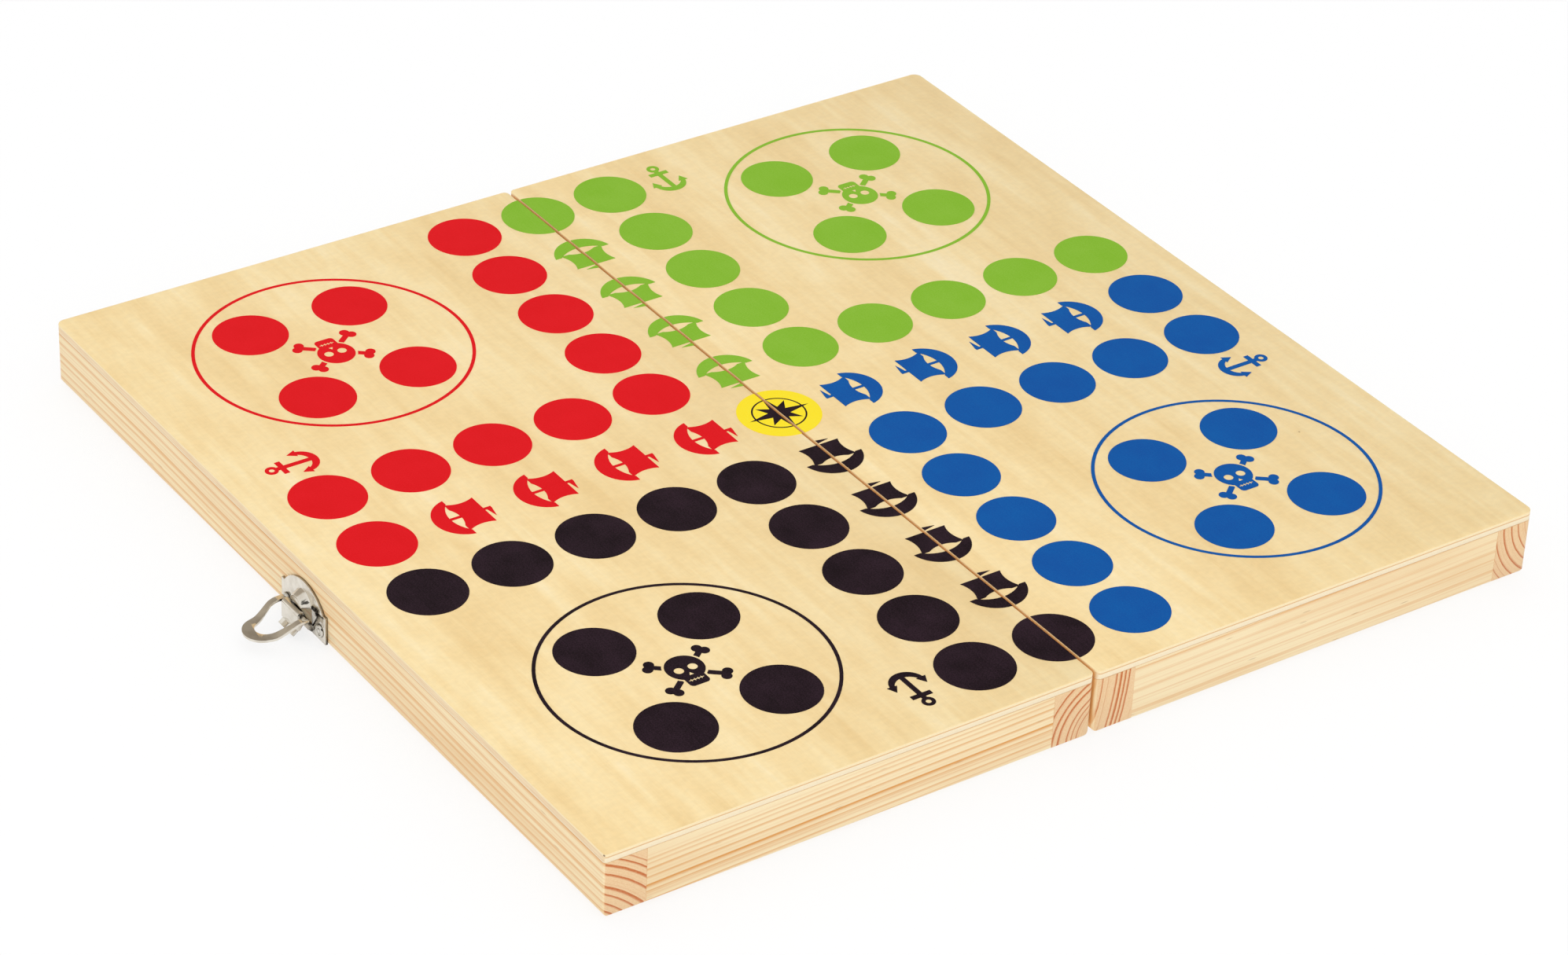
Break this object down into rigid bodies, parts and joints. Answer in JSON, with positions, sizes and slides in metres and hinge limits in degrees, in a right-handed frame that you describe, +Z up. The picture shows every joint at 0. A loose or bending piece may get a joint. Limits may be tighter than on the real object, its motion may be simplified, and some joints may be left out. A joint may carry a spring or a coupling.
{
  "type": "folding ludo board box",
  "caption": "Folding wooden board game box with a printed ludo track, butt hinges at the seam and a nickel toggle latch on one side.",
  "frame": {"origin": "under the middle of the whole part as the board lies open, at the lowest point of the hinge knuckles", "axes": "+X from the latch side to the catch side, +Y from the front edge to the back edge along the seam, +Z up out of the printed face"},
  "size_m": [0.3234, 0.291, 0.0204],
  "materials": {
    "plywood": "satin, thin clear lacquer",
    "pine": "satin, thin clear lacquer",
    "ink_red": "satin screen print ink",
    "ink_black": "satin screen print ink",
    "ink_blue": "satin screen print ink",
    "ink_green": "satin screen print ink",
    "ink_yellow": "satin screen print ink",
    "nickel": "bright nickel plate",
    "steel_fixings": "bright zinc plate",
    "hinge_steel": "dull nickel plate"
  },
  "bodies": {
    "left_tray": {"left_panel": "plywood", "left_batten_outer": "pine", "left_batten_spine": "pine", "left_batten_front": "pine", "left_batten_back": "pine", "left_print_red": "ink_red", "left_print_black": "ink_black", "left_print_green": "ink_green", "left_print_yellow": "ink_yellow", "hinge_leaf_left_front": "hinge_steel", "hinge_leaf_left_back": "hinge_steel", "hinge_pin_front": "hinge_steel", "hinge_pin_back": "hinge_steel", "hinge_screws_left": "steel_fixings", "latch_plate": "nickel", "latch_nails": "steel_fixings", "lever_pin": "steel_fixings"},
    "right_tray": {"right_panel": "plywood", "right_batten_outer": "pine", "right_batten_spine": "pine", "right_batten_front": "pine", "right_batten_back": "pine", "right_print_blue": "ink_blue", "right_print_green": "ink_green", "right_print_black": "ink_black", "right_print_yellow": "ink_yellow", "hinge_leaf_right_front": "hinge_steel", "hinge_leaf_right_back": "hinge_steel", "hinge_screws_right": "steel_fixings", "catch_plate": "nickel", "catch_nails": "steel_fixings"},
    "lever": {"latch_lever": "nickel"},
    "loop": {"latch_loop": "nickel"}
  },
  "joints": [
    {"name": "fold", "type": "hinge", "parent": "left_tray", "child": "right_tray", "pos_m": [0.00696, 0, 0.00115], "axis": [0, 1, 0], "range_deg": [0, 180]},
    {"name": "lever_swing", "type": "hinge", "parent": "left_tray", "child": "lever", "pos_m": [-0.14624, 0.0018, 0.0059], "axis": [0, 1, 0], "range_deg": [0, 90]},
    {"name": "loop_swing", "type": "hinge", "parent": "lever", "child": "loop", "pos_m": [-0.14666, 0.0018, 0.00745], "axis": [0, 1, 0], "range_deg": [-80, 9]}
  ]
}
